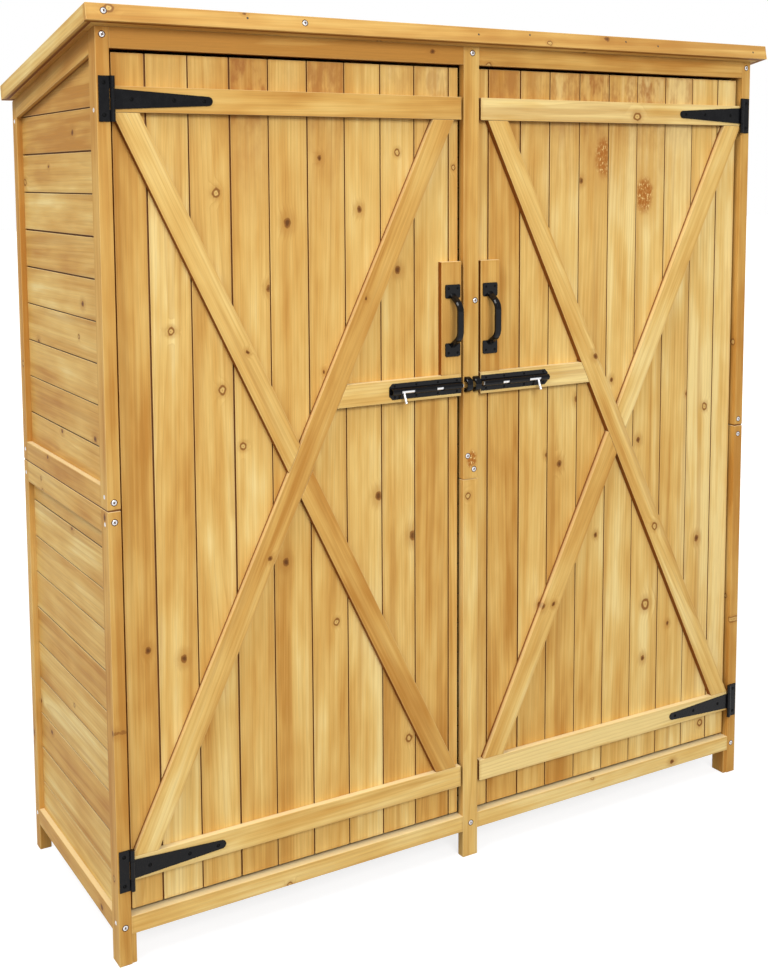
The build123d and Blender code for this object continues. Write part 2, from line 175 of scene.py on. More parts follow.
def boards_and_tongues(panel, axis, seams, gaps):
    """The boards of a panel, and the thin tongues that close the gaps between them."""
    boards = []
    low = None
    for seam, gap in zip(seams, gaps):
        boards.append(between(panel, axis, low, seam - gap / 2))
        low = seam + gap / 2
    boards.append(between(panel, axis, low, None))
    through = broad_normal(panel)
    tongues = []
    for seam in seams:
        tongue = between(panel, axis, seam - TONGUE_HALF_WIDTH, seam + TONGUE_HALF_WIDTH)
        middle = sum(span_of(tongue.verts, through)) / 2
        along = axis.cross(through)
        centre = sum(span_of(tongue.verts, along)) / 2
        for vert in tongue.verts:
            vert.co += through * (middle - through.dot(vert.co)) * (1 - TONGUE_SHARE)
            vert.co -= along * math.copysign(TONGUE_INSET, along.dot(vert.co) - centre)
        tongues.append(tongue)
    return boards, tongues


def broad_normal(mesh):
    """The direction that the largest flat face looks in."""
    return max(mesh.faces, key=lambda face: face.calc_area()).normal.copy()


def sharp_edges(mesh):
    """Edges between faces that meet at a clear angle."""
    return [
        edge
        for edge in mesh.edges
        if len(edge.link_faces) == 2 and edge.calc_face_angle(0) > SHARP_ANGLE
    ]


def ease_edges(mesh, width, steps=2):
    """Rounds the sharp edges a little, as sanded wood and pressed metal have them."""
    bmesh.ops.bevel(
        mesh,
        geom=sharp_edges(mesh),
        offset=width,
        segments=steps,
        profile=ROUND_PROFILE,
        affect="EDGES",
        clamp_overlap=True,
    )


# Knots on the doors and the middle post: X, Z and radius in millimetres, and ring or not
FRONT_KNOTS = {
    "left": (
        (-480, 1225, 6, True), (-560, 1010, 5, True), (-475, 910, 6, True), (-505, 855, 5, True),
        (-480, 730, 5, True), (-505, 560, 5, True), (-440, 815, 5, True), (-145, 1290, 5, True),
        (-125, 250, 6, True), (-150, 590, 5, True), (-30, 1265, 4, True), (-270, 490, 5, True),
        (-550, 480, 6, False), (-610, 505, 5, False), (-390, 1070, 5, False), (-355, 1175, 7, False),
        (-365, 610, 6, False), (-295, 1280, 4, False), (-220, 1195, 5, False), (-145, 1090, 6, False),
        (-290, 925, 3, False), (-185, 700, 7, False), (-115, 620, 8, False), (-300, 495, 5, False),
        (-340, 300, 6, False), (-215, 1045, 3, False), (-435, 970, 3, False), (-400, 625, 4, False),
    ),
    "right": (
        (380, 1360, 7, True), (580, 785, 6, True), (430, 400, 9, True), (585, 120, 6, True),
        (440, 560, 6, True), (255, 1240, 5, False), (335, 860, 4, False), (250, 830, 5, False),
        (210, 710, 6, False), (180, 730, 4, False), (405, 735, 5, False), (300, 560, 4, False),
        (425, 290, 5, False), (490, 350, 4, False), (565, 515, 6, False), (530, 815, 3, False),
        (285, 910, 5, False), (165, 445, 5, False), (190, 445, 4, False),
    ),
    "middle": ((-6, 679, 5, True),),
}

# Resin patches: X, Z and radius in millimetres
FRONT_PATCHES = {"left": (), "middle": ((2, 745, 9),), "right": ((312, 1284, 20), (411, 1212, 19))}

DARK_SLOTS = ("dark_knot_a", "dark_knot_b")
RING_SLOTS = ("ring_knot_a", "ring_knot_b")
PATCH_SLOT = "resin_patch"
FAR_AWAY = (9.0, 9.0, MM)
KNOTS_PER_METRE = 0.5
KNOT_RADII_MM = (2.5, 6.0)
SHED_MIDDLE = Vector((0, 0.015, 0.75))

# How a board lies in its tree: where it starts along the trunk, how far the pith is, and how much it leans
TRUNK_LENGTH = 40
PITH_ASIDE = 0.03
PITH_DEPTH = (0.012, 0.05)
PITH_LEAN = 0.012


class Board:
    """Measures a piece of wood along its grain, across it and through it."""

    def __init__(self, mesh, grain=None):
        through = broad_normal(mesh)
        if through.dot(middle_of(mesh) - SHED_MIDDLE) < 0:
            through = -through
        if grain is None:
            longest = max(mesh.edges, key=lambda e: e.calc_length())
            grain = (longest.verts[1].co - longest.verts[0].co).normalized()
        self.grain = grain
        self.through = (through - grain * through.dot(grain)).normalized()
        self.across = self.through.cross(grain)
        self.middle, self.reach = [], []
        for axis in (self.grain, self.across, self.through):
            low, high = span_of(mesh.verts, axis)
            self.middle.append((low + high) / 2)
            self.reach.append((high - low) / 2)

    def place(self, spot):
        """A point's distance from the middle along the grain, across it and through it."""
        axes = (self.grain, self.across, self.through)
        return Vector(axis.dot(spot) - middle for axis, middle in zip(axes, self.middle))

    def placed(self, marks):
        """Those of the given marks on the front that lie on this board, in its own measure."""
        found = []
        for x, z, radius, *kind in marks:
            along, aside, _ = self.place(Vector((x * MM, FRONT, z * MM)))
            if abs(along) < self.reach[0] and abs(aside) < self.reach[1]:
                found.append(((along, aside, radius * MM), *kind))
        return found

    def scattered(self, chance):
        """Knots by chance, as many as this length of wood usually has."""
        found = []
        for slot in DARK_SLOTS + RING_SLOTS:
            if chance.random() < KNOTS_PER_METRE * 2 * self.reach[0]:
                along = chance.uniform(-self.reach[0], self.reach[0])
                aside = chance.uniform(-self.reach[1], self.reach[1])
                found.append(((along, aside, chance.uniform(*KNOT_RADII_MM) * MM), slot in RING_SLOTS))
        return found


class Timber:
    """Gathers wooden pieces into one object whose points know their place in their own board."""

    def __init__(self, name):
        self.name = name
        self.points, self.faces = [], []
        labels = ("grain", "place", "reach", "finish", PATCH_SLOT, *DARK_SLOTS, *RING_SLOTS)
        self.vectors = {label: [] for label in labels}

    def add(self, mesh, chance, tone, edge, grain=None, joint=1.0, stain=0.0, side=None):
        """Adds one board. Tone runs from 0, deep orange, to 1, pale straw. Joint is the share of its
        thickness where painted shade darkens its flanks, stain is how brown its upper end is, and side names
        the part of the front that it belongs to."""
        board = Board(mesh, grain)
        if side:
            knots = board.placed(FRONT_KNOTS[side])
            patches = [spot for spot, in board.placed(FRONT_PATCHES[side])]
        else:
            knots, patches = board.scattered(chance), []
        marks = dict(zip(DARK_SLOTS, [spot for spot, ring in knots if not ring]))
        marks.update(zip(RING_SLOTS, [spot for spot, ring in knots if ring]))
        marks.update(zip([PATCH_SLOT], patches))
        if edge:
            ease_edges(mesh, edge)
        shift = chance.uniform(0, TRUNK_LENGTH)
        pith = Vector((chance.gauss(0, PITH_ASIDE), chance.uniform(*PITH_DEPTH)))
        lean = Vector((chance.gauss(0, PITH_LEAN), chance.gauss(0, PITH_LEAN)))
        first = len(self.points)
        for vert in mesh.verts:
            along, aside, out = board.place(vert.co)
            self.points.append(vert.co[:])
            self.vectors["grain"] += (
                along + shift,
                aside + pith.x + lean.x * along,
                out + pith.y + lean.y * along,
            )
            self.vectors["place"] += (along, aside, out)
            self.vectors["reach"] += board.reach
            self.vectors["finish"] += (tone, joint, stain)
            for slot in (*DARK_SLOTS, *RING_SLOTS, PATCH_SLOT):
                self.vectors[slot] += marks.get(slot, FAR_AWAY)
        mesh.verts.index_update()
        for face in mesh.faces:
            self.faces.append([first + v.index for v in face.verts])
        mesh.free()

    def build(self, node, body, material):
        """Makes the object, which stands for its CAD node."""
        data = bpy.data.meshes.new(self.name)
        data.from_pydata(self.points, [], self.faces)
        for label, values in self.vectors.items():
            layer = data.attributes.new(label, "FLOAT_VECTOR", "POINT")
            layer.data.foreach_set("vector", values)
        data.materials.append(material)
        piece = show(self.name, data)
        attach(piece, body)
        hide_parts(node)


# Node helpers

def feed(node, values):
    """Sets a shader node's inputs, or links them where a value comes from another node."""
    for key, value in values.items():
        socket = node.inputs[key]
        if isinstance(value, bpy.types.NodeSocket):
            node.id_data.links.new(value, socket)
        else:
            socket.default_value = value


def put(tree, kind, values=(), **settings):
    """Adds a shader node, sets its inputs or links them, and returns it."""
    node = tree.nodes.new(kind)
    for key, value in settings.items():
        setattr(node, key, value)
    feed(node, dict(values))
    return node


def calc(tree, operation, *values, clamp=False):
    """One step of arithmetic between sockets or numbers."""
    node = put(tree, "ShaderNodeMath", dict(enumerate(values)), operation=operation, use_clamp=clamp)
    return node.outputs[0]


def times(tree, first, second, clamp=False):
    """The product of two values."""
    return calc(tree, "MULTIPLY", first, second, clamp=clamp)


def graded(tree, value, slope, start, clamp=False):
    """A value times a slope, plus a start."""
    return calc(tree, "MULTIPLY_ADD", value, slope, start, clamp=clamp)


def larger(tree, first, second):
    """The larger of two values."""
    return calc(tree, "MAXIMUM", first, second)


def vector_calc(tree, operation, *values):
    """One step of arithmetic between vectors."""
    node = put(tree, "ShaderNodeVectorMath", dict(enumerate(values)), operation=operation)
    return node.outputs["Value"] if operation == "LENGTH" else node.outputs[0]


def noise(tree, place, cells, detail=2.0, roughness=0.55, kind="Fac"):
    """A noise pattern, with one number of cells per metre or one for each direction."""
    if not isinstance(cells, tuple):
        cells = (cells, cells, cells)
    scaled = vector_calc(tree, "MULTIPLY", place, cells)
    settings = {"Vector": scaled, "Scale": 1.0, "Detail": detail, "Roughness": roughness}
    return put(tree, "ShaderNodeTexNoise", settings).outputs[kind]


def parts(tree, vector):
    """The three parts of a vector."""
    return put(tree, "ShaderNodeSeparateXYZ", {0: vector}).outputs


def position(tree):
    """The place of the shaded point."""
    return put(tree, "ShaderNodeNewGeometry").outputs["Position"]


def blend(tree, share, first, second, kind="MIX"):
    """A mix of two colours, each from another node or three plain numbers."""
    first, second = ((*c, 1) if isinstance(c, tuple) else c for c in (first, second))
    node = put(tree, "ShaderNodeMix", {0: share, 6: first, 7: second}, data_type="RGBA", blend_type=kind)
    return node.outputs[2]


def grey(tree, value):
    """A grey colour from one number."""
    return put(tree, "ShaderNodeCombineColor", {0: value, 1: value, 2: value}).outputs[0]


def ramp(tree, value, stops):
    """A colour ramp from places and grey levels or colours."""
    node = put(tree, "ShaderNodeValToRGB", {"Fac": value})
    band = node.color_ramp
    for index, (place, shade) in enumerate(stops):
        colour = shade if isinstance(shade, tuple) else (shade, shade, shade)
        spot = band.elements[index] if index < 2 else band.elements.new(place)
        spot.position = place
        spot.color = (*colour, 1)
    return node.outputs["Color"]


def fade(tree, value, low, high):
    """Falls smoothly from 1 at low to 0 at high."""
    node = put(
        tree,
        "ShaderNodeMapRange",
        {"Value": value, "From Min": low, "From Max": high, "To Min": 1.0, "To Max": 0.0},
        interpolation_type="SMOOTHSTEP",
    )
    return node.outputs[0]


def climb(tree, value, low, high):
    """Climbs smoothly from 0 at low to 1 at high."""
    return calc(tree, "SUBTRACT", 1.0, fade(tree, value, low, high))


def bump(tree, height, strength, depth):
    """A surface direction disturbed by a height pattern, with its depth in millimetres."""
    settings = {"Strength": strength, "Distance": depth * MM, "Height": height}
    return put(tree, "ShaderNodeBump", settings).outputs[0]


def fresh_material(name):
    """A new material with nothing in it but its output and one principled shader."""
    material = bpy.data.materials.new(name)
    material.use_nodes = True
    tree = material.node_tree
    tree.nodes.clear()
    shader = tree.nodes.new("ShaderNodeBsdfPrincipled")
    output = tree.nodes.new("ShaderNodeOutputMaterial")
    tree.links.new(shader.outputs[0], output.inputs[0])
    return material, tree, shader


# Wood

DEEP = (0.520, 0.240, 0.045)
GOLDEN = (0.675, 0.385, 0.098)
STRAW = (0.785, 0.520, 0.165)
PALE = (0.880, 0.670, 0.280)
LATEWOOD = (0.460, 0.205, 0.038)
KNOT_BROWN = (0.260, 0.095, 0.018)
KNOT_DARK = (0.100, 0.034, 0.008)
RESIN = (0.400, 0.125, 0.015)
STAIN_BROWN = (0.420, 0.170, 0.040)
# Painted shade on flanks and in joints
PAINTED_SHADE_BROWN = (0.200, 0.052, 0.004)
# Painted light on faces that look up
PAINTED_TOP_LIGHT = (0.920, 0.760, 0.430)

WOOD_SHADES = [(0.0, DEEP), (1.0, PALE), (0.35, GOLDEN), (0.70, STRAW)]
WOOD_GLOSS = 0.15
WOOD_ROUGHNESS = (0.22, 0.44)
# Painted shade in the joints
TONGUE_SHADE_BROWNS = ((0.09, 0.028, 0.003), (0.26, 0.090, 0.010))
TONGUE_ROUGHNESS = (0.2, 0.6)

# Noise on the wood: cells per metre along the grain, across it and through it, then detail and roughness.
# A tone layer has its detail and how far it swings the tone
TONE_LAYERS = (
    ((0.9, 9, 9), 1.0, 0.62),
    ((6, 22, 22), 2.0, 0.62),
    ((1.5, 70, 70), 3.0, 0.50),
    ((4, 280, 280), 2.0, 0.20),
)
HEART_NOISE = ((1.1, 40, 40), 2.0, 0.6)
CLOUD_NOISE = ((2.2, 14, 14), 1.0)
FIBRE_NOISE = ((16, 900, 900), 2.0, 0.7)
FLECK_NOISE = ((150, 230, 230), 3.0, 0.7)
BLOT_NOISE = ((24, 55, 55), 3.0, 0.6)
TONGUE_CELLS = (5, 200, 200)

# Cells of noise per metre and the reach of a sway, for the outlines of rings, knots and resin
RING_SWAY = ((1.6, 9, 9), (0, 0.022, 0.022))
KNOT_SWAY = (140, (5 * MM, 5 * MM, 0))
PATCH_SWAY = (60, (16 * MM, 16 * MM, 0))

# Growth rings, heart streaks and fibres
RINGS_PER_METRE = 190.0
RING_SHADES = [(0.0, 0.0), (0.45, 0.10), (0.78, 0.55), (0.93, 1.0), (1.0, 0.0)]
RING_CLOUDS = (1.3, -0.35)
RING_SHARE = 0.62
RING_RELIEF = 0.6
PULL_REACH = (0.6, 4.0)
PULL = 1.1
HEART_BAND = (0.55, 0.68)
HEART_SHARE = 0.40
FIBRE_SHADE = (0.30, 0.85)
GRAIN_BUMP = (0.35, 0.25)

# Coats of colour on a knot: distances in its radii between which a coat fades, its share and its colour
DARK_KNOT_COATS = ((0.9, 3.4, 0.50, LATEWOOD), (0.75, 1.05, 0.9, KNOT_BROWN), (0.3, 0.7, 0.75, KNOT_DARK))
RING_KNOT_COATS = ((1.0, 2.6, 0.40, LATEWOOD), (0.85, 1.0, 1.0, STRAW))
PATCH_COATS = ((0.8, 2.8, 0.7, GOLDEN),)
KNOT_RING = [(0.0, 0.80), (0.22, 0.25), (0.50, 0.10), (0.75, 1.0), (1.0, 0.90)]
KNOT_RING_RIM = (1.0, 1.3)
KNOT_PIT_RIM = (0.7, 1.1)
KNOT_PIT = -0.8
DARK_KNOT_LENGTH = 0.75
RING_KNOT_LENGTH = 0.85
PATCH_LENGTH = 0.6
PATCH_RIM = (0.7, 1.4)
RUST = (2.4, -0.40)
PALE_FLECKS = (0.34, 0.42)

# Browning of a board's upper end: where it fades in metres, and its slope and start on the blots
EVEN_REACH = (60 * MM, 320 * MM)
EVEN_BLOTS = (0.9, -0.05)
MARK_REACH = (40 * MM, 130 * MM)
MARK_BLOTS = (5.0, -2.2)
MARK_SHARE = 0.55

# Light and shade painted near a board's arris: distances in metres between which each fades, and its share.
# Darker near the edges, a pale arris of wear and painted highlight, painted light on faces that look up,
# painted shade on the flanks
SOFT_REACH = (1.0 * MM, 6.0 * MM)
SOFT_SHARE = 0.22
# Pale arris: wear, and a painted highlight along the edge
WEAR_AND_HIGHLIGHT_REACH = (0.2 * MM, 1.6 * MM)
WEAR_AND_HIGHLIGHT_SHARE = 0.28
SHELF_REACH = (0.2 * MM, 1.4 * MM)
# Painted light on faces that look up: its slope and start on the shelf
TOP_LIGHT_SHARES = (0.6, 0.2)
# Painted shade on the flanks behind the front arris, deeper where they look down
FLANK_SHADE_REACH = (0.1 * MM, 0.4 * MM)
FLANK_SHADE_DEPTH = (1.0, 2.2)
FLANK_SHADE_SHARE = 0.94
UPWARD_SHIFT = 40.0
LEAST_START = 0.3


def attribute(tree, name):
    """A vector that the points carry."""
    return put(tree, "ShaderNodeAttribute", attribute_name=name).outputs["Vector"]


def distance_from(tree, place, slots, length):
    """Distance from the nearest mark in the given slots, in radii of that mark."""
    nearest = None
    for slot in slots:
        mark = attribute(tree, slot)
        offset = vector_calc(tree, "MULTIPLY", vector_calc(tree, "SUBTRACT", place, mark), (length, 1, 0))
        share = calc(tree, "DIVIDE", vector_calc(tree, "LENGTH", offset), parts(tree, mark)[2])
        nearest = share if nearest is None else calc(tree, "MINIMUM", nearest, share)
    return nearest


def swayed(tree, place, grain, cells, reach):
    """A place shifted by noise, so that what is drawn round it has an uneven outline."""
    shift = vector_calc(tree, "SUBTRACT", noise(tree, grain, cells, kind="Color"), (0.5, 0.5, 0.5))
    return vector_calc(tree, "ADD", place, vector_calc(tree, "MULTIPLY", shift, reach))


def growth_rings(tree, grain, knot):
    """Growth rings around a pith line that lies outside the board, from 0 in early wood to 1 in late wood."""
    spoke = vector_calc(tree, "MULTIPLY", swayed(tree, grain, grain, *RING_SWAY), (0, 1, 1))
    turns = times(tree, vector_calc(tree, "LENGTH", spoke), RINGS_PER_METRE)
    turns = graded(tree, fade(tree, knot, *PULL_REACH), PULL, turns)
    return ramp(tree, calc(tree, "FRACT", turns), RING_SHADES)


def wood_tone(tree, grain, tone):
    """How pale the wood is from place to place, about its own tone: clouds, long streaks and fine ones."""
    for cells, detail, swing in TONE_LAYERS:
        pattern = noise(tree, grain, cells, detail)
        tone = calc(tree, "ADD", tone, graded(tree, pattern, 2 * swing, -swing))
    return tone


def heart_streaks(tree, grain):
    """Long dark streaks of heartwood, few and far between."""
    pattern = noise(tree, grain, *HEART_NOISE)
    return times(tree, climb(tree, pattern, *HEART_BAND), HEART_SHARE)


def wood_material():
    """Planed softwood with a honey stain: clouds, streaks, rings, fibres, knots and stains, with painted
    shade on the flanks and in the joints, painted light on faces that look up, and pale arrises of wear and
    painted highlight.
    """
    material, tree, shader = fresh_material("honey_softwood")
    grain, place, reach = (attribute(tree, name) for name in ("grain", "place", "reach"))
    tone, joint, stain = parts(tree, attribute(tree, "finish"))
    knot_place = swayed(tree, place, grain, *KNOT_SWAY)
    dark_knot = distance_from(tree, knot_place, DARK_SLOTS, DARK_KNOT_LENGTH)
    ring_knot = distance_from(tree, knot_place, RING_SLOTS, RING_KNOT_LENGTH)
    rings = growth_rings(tree, grain, calc(tree, "MINIMUM", dark_knot, ring_knot))
    fibres = noise(tree, grain, *FIBRE_NOISE)

    colour = ramp(tree, wood_tone(tree, grain, tone), WOOD_SHADES)
    colour = blend(tree, heart_streaks(tree, grain), colour, LATEWOOD)
    clear = graded(tree, noise(tree, grain, *CLOUD_NOISE), *RING_CLOUDS, clamp=True)
    colour = blend(tree, times(tree, times(tree, rings, clear), RING_SHARE), colour, LATEWOOD)
    colour = blend(tree, 1.0, colour, grey(tree, graded(tree, fibres, *FIBRE_SHADE)), "MULTIPLY")
    colour = resin_colours(tree, colour, place, grain)
    colour = end_stain(tree, colour, place, reach, grain, stain)
    colour = coated(tree, colour, dark_knot, DARK_KNOT_COATS)
    colour = ring_knot_colours(tree, colour, ring_knot)
    colour = joint_shade(tree, colour, place, reach, joint)

    height = graded(tree, rings, RING_RELIEF, fibres)
    height = graded(tree, fade(tree, dark_knot, *KNOT_PIT_RIM), KNOT_PIT, height)
    feed(shader, {
        "Base Color": colour,
        "Roughness": graded(tree, fibres, *WOOD_ROUGHNESS),
        "Specular IOR Level": WOOD_GLOSS,
        "Normal": bump(tree, height, *GRAIN_BUMP),
    })
    return material


def coated(tree, colour, distance, coats):
    """Lays coats of plain colour over one another, each fading with the distance from a mark."""
    for low, high, share, coat in coats:
        colour = blend(tree, times(tree, fade(tree, distance, low, high), share), colour, coat)
    return colour


def ring_knot_colours(tree, colour, knot):
    """Paints live knots: a brown ring round a pale middle with a small dark heart."""
    colour = coated(tree, colour, knot, RING_KNOT_COATS)
    ring = times(tree, ramp(tree, knot, KNOT_RING), fade(tree, knot, *KNOT_RING_RIM))
    return blend(tree, ring, colour, KNOT_BROWN)


def resin_colours(tree, colour, place, grain):
    """Paints patches of resin: reddish brown, mottled, with pale flecks."""
    patch = distance_from(tree, swayed(tree, place, grain, *PATCH_SWAY), (PATCH_SLOT,), PATCH_LENGTH)
    fleck = noise(tree, grain, *FLECK_NOISE)
    inside = fade(tree, patch, *PATCH_RIM)
    colour = coated(tree, colour, patch, PATCH_COATS)
    colour = blend(tree, times(tree, inside, graded(tree, fleck, *RUST, clamp=True)), colour, RESIN)
    return blend(tree, times(tree, inside, fade(tree, fleck, *PALE_FLECKS)), colour, PALE)


def end_stain(tree, colour, place, reach, grain, stain):
    """Browns the upper end of a board, where rain has run in: evenly further down, in blots near the end."""
    along = parts(tree, vector_calc(tree, "SUBTRACT", reach, place))[0]
    blots = noise(tree, grain, *BLOT_NOISE)
    even = times(tree, fade(tree, along, *EVEN_REACH), graded(tree, blots, *EVEN_BLOTS))
    marks = times(tree, fade(tree, along, *MARK_REACH), graded(tree, blots, *MARK_BLOTS, clamp=True))
    wet = graded(tree, marks, MARK_SHARE, even, clamp=True)
    return blend(tree, times(tree, wet, stain), colour, STAIN_BROWN)


def joint_shade(tree, colour, place, reach, joint):
    """Paints shade on the flanks of a board behind its front arris, most of all where they look down, darkens
    it a little near its edges, pales its arris as wear and painted highlight, and paints light on the faces
    that look up, narrow ones most."""
    edge = parts(tree, vector_calc(tree, "SUBTRACT", reach, vector_calc(tree, "ABSOLUTE", place)))
    front = parts(tree, vector_calc(tree, "SUBTRACT", reach, place))[2]
    thick = times(tree, parts(tree, reach)[2], 2.0)
    upward = parts(tree, put(tree, "ShaderNodeNewGeometry").outputs["True Normal"])[2]
    flank = calc(tree, "MINIMUM", edge[0], edge[1])

    # Darker within a few millimetres of a board's edges
    colour = blend(tree, times(tree, fade(tree, flank, *SOFT_REACH), SOFT_SHARE), colour, LATEWOOD)
    # Painted light: faces that look up turn paler, narrow ones most
    shelf = climb(tree, front, *SHELF_REACH)
    top_light_share = times(tree, upward, graded(tree, shelf, *TOP_LIGHT_SHARES), clamp=True)
    colour = blend(tree, top_light_share, colour, PAINTED_TOP_LIGHT)
    # Pale arris: wear, and a painted highlight along the edge
    wear_and_highlight = fade(tree, larger(tree, flank, front), *WEAR_AND_HIGHLIGHT_REACH)
    colour = blend(tree, times(tree, wear_and_highlight, WEAR_AND_HIGHLIGHT_SHARE), colour, PALE)

    # Painted shade on the flanks: it starts nearer the front where the flank looks down
    start = graded(tree, times(tree, joint, joint), times(tree, upward, UPWARD_SHIFT), joint)
    start = larger(tree, start, times(tree, joint, LEAST_START))
    depth = calc(tree, "DIVIDE", calc(tree, "DIVIDE", front, thick), start)
    painted_flank_shade = times(tree, climb(tree, depth, *FLANK_SHADE_DEPTH), fade(tree, flank, *FLANK_SHADE_REACH))
    return blend(tree, times(tree, painted_flank_shade, FLANK_SHADE_SHARE), colour, PAINTED_SHADE_BROWN)


def tongue_material():
    """Dark wood whose colour is painted shade, at the bottom of the joints and in the slices under upper
    pieces.
    """
    material, tree, shader = fresh_material("joint_shadow_wood")
    fleck = noise(tree, attribute(tree, "grain"), TONGUE_CELLS)
    feed(shader, {
        "Base Color": blend(tree, fleck, *TONGUE_SHADE_BROWNS),
        "Roughness": graded(tree, fleck, *TONGUE_ROUGHNESS),
    })
    return material


# Metal

BLACKS = ((0.001, 0.001, 0.002), (0.007, 0.007, 0.008))
DUST_NOISE = (60, 4.0, 0.65)
PEEL_CELLS = 900
PEEL_BUMP = (0.25, 0.08)
SPECK_CELLS = 500
RECESS_ROUGHNESS = 0.6
RECESS_GLOSS = 0.08
PIT_BLACKS = ((0.002, 0.002, 0.002), (0.006, 0.006, 0.006))
# Painted shade of the holes round screw heads
HOLE_SHADE_BROWNS = ((0.060, 0.022, 0.006), (0.160, 0.060, 0.014))
ZINC_GREYS = ((0.70, 0.71, 0.73), (0.90, 0.90, 0.89))
ZINC_ROUGHNESS = (0.22, 0.22)
SPANGLE_NOISE = (300, 3.0)
DRAW_CELLS = (90, 1400, 1400)
DRAW_BUMP = (0.2, 0.03)
NAIL_BROWNS = ((0.055, 0.040, 0.028), (0.17, 0.13, 0.09))
NAIL_NOISE = (700, 3.0)
NAIL_METALLIC = 0.6
NAIL_ROUGHNESS = (0.3, 0.4)


def black_material(name, roughness, gloss):
    """Black powder coat with a fine orange-peel surface and a little dust."""
    material, tree, shader = fresh_material(name)
    spot = position(tree)
    dust = noise(tree, spot, *DUST_NOISE)
    feed(shader, {
        "Base Color": blend(tree, dust, *BLACKS),
        "Roughness": graded(tree, dust, roughness, roughness / 2),
        "Specular IOR Level": gloss,
        "Normal": bump(tree, noise(tree, spot, PEEL_CELLS), *PEEL_BUMP),
    })
    return material


def recess_material(name, colours):
    """The dull inside of a screw's recess, or the painted shade of a hole round a head, between two colours.
    """
    material, tree, shader = fresh_material(name)
    feed(shader, {
        "Base Color": blend(tree, noise(tree, position(tree), SPECK_CELLS), *colours),
        "Roughness": RECESS_ROUGHNESS,
        "Specular IOR Level": RECESS_GLOSS,
    })
    return material


def zinc_material(name, metallic):
    """Bright zinc plate with faint spangle and draw marks."""
    material, tree, shader = fresh_material(name)
    spot = position(tree)
    spangle = noise(tree, spot, *SPANGLE_NOISE)
    feed(shader, {
        "Base Color": blend(tree, spangle, *ZINC_GREYS),
        "Metallic": metallic,
        "Roughness": graded(tree, spangle, *ZINC_ROUGHNESS),
        "Normal": bump(tree, noise(tree, spot, DRAW_CELLS), *DRAW_BUMP),
    })
    return material


def nail_material():
    """Dulled steel of nail heads."""
    material, tree, shader = fresh_material("dull_nail_steel")
    stain = noise(tree, position(tree), *NAIL_NOISE)
    feed(shader, {
        "Base Color": blend(tree, stain, *NAIL_BROWNS),
        "Metallic": NAIL_METALLIC,
        "Roughness": graded(tree, stain, *NAIL_ROUGHNESS),
    })
    return material


wood = wood_material()
shadow_wood = tongue_material()
satin_black = black_material("satin_black_coat", roughness=0.26, gloss=0.20)
gloss_black = black_material("gloss_black_coat", roughness=0.14, gloss=0.20)
zinc = zinc_material("bright_zinc", metallic=1.0)
screw_zinc = zinc_material("screw_zinc", metallic=0.45)
black_pit = recess_material("black_screw_paint", PIT_BLACKS)
hole_shade_brown = recess_material("screw_hole_shadow", HOLE_SHADE_BROWNS)
nail_steel = nail_material()


# Wooden pieces

# Share of a piece's thickness where painted shade darkens its flanks
BEAM_FLANK_SHADE = 0.12
BOARD_FLANK_SHADE = 0.04
RAIL_FLANK_SHADE = 1.4


def by_height(meshes):
    """Meshes in order from the lowest to the highest, and from left to right."""
    def place(mesh):
        centre = middle_of(mesh)
        return round(centre.z, 2), centre.x
    return sorted(meshes, key=place)


def beams(node, body, tones, spread=0.05, edge=BEAM_EDGE, joint=1.0, side=None, foot=None):
    """Dresses a CAD node made of rails, posts or battens, with a tone for all or for each from the lowest up.
    Below the height foot, a piece is only a dark slice, painted shade in the joint to the piece under it."""
    chance = random.Random(node)
    timber, backing = Timber(f"{node}_wood"), Timber(f"{node}_joints")
    meshes = by_height(solids_of(node))
    if not isinstance(tones, tuple):
        tones = (tones,) * len(meshes)
    for mesh, tone in zip(meshes, tones, strict=True):
        if foot is not None and min(v.co.z for v in mesh.verts) < foot:
            backing.add(split_foot(mesh, foot), chance, tone=0.0, edge=0)
        timber.add(mesh, chance, tone + chance.uniform(-spread, spread), edge, joint=joint, side=side)
    timber.build(node, body, wood)
    if backing.points:
        backing.build(node, body, shadow_wood)


def panel(node, body, axis, seams, grain, tones, gaps=None, side=None, start=None):
    """Dresses a CAD node made of flat panels as boards with joints between them, from start on if given."""
    chance = random.Random(node)
    timber, backing = Timber(f"{node}_planks"), Timber(f"{node}_tongues")
    if gaps is None:
        gaps = [BOARD_GAP * (1 + chance.uniform(-GAP_SPREAD, GAP_SPREAD)) for _ in seams]
    stains = DOOR_STAINS[side] if side else (0.0,)
    for mesh in solids_of(node):
        if start is not None:
            cut(mesh, axis * start, axis)
        boards, tongues = boards_and_tongues(mesh, axis, seams, gaps)
        for index, board in enumerate(boards):
            tone = tones[index % len(tones)]
            stain = stains[index % len(stains)]
            timber.add(board, chance, tone, BOARD_EDGE, grain, joint=BOARD_FLANK_SHADE, stain=stain, side=side)
        for tongue in tongues:
            backing.add(tongue, chance, tone=0.0, edge=0, grain=grain)
        mesh.free()
    timber.build(node, body, wood)
    backing.build(node, body, shadow_wood)


def even_seams(node, axis):
    """Places of joints a board's width apart over a node, from its start along an axis."""
    low, high = span_of(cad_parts[node].data.vertices, axis)
    count = int((high - low) / BOARD_PITCH)
    return [low + BOARD_PITCH * (i + 1) for i in range(count)]


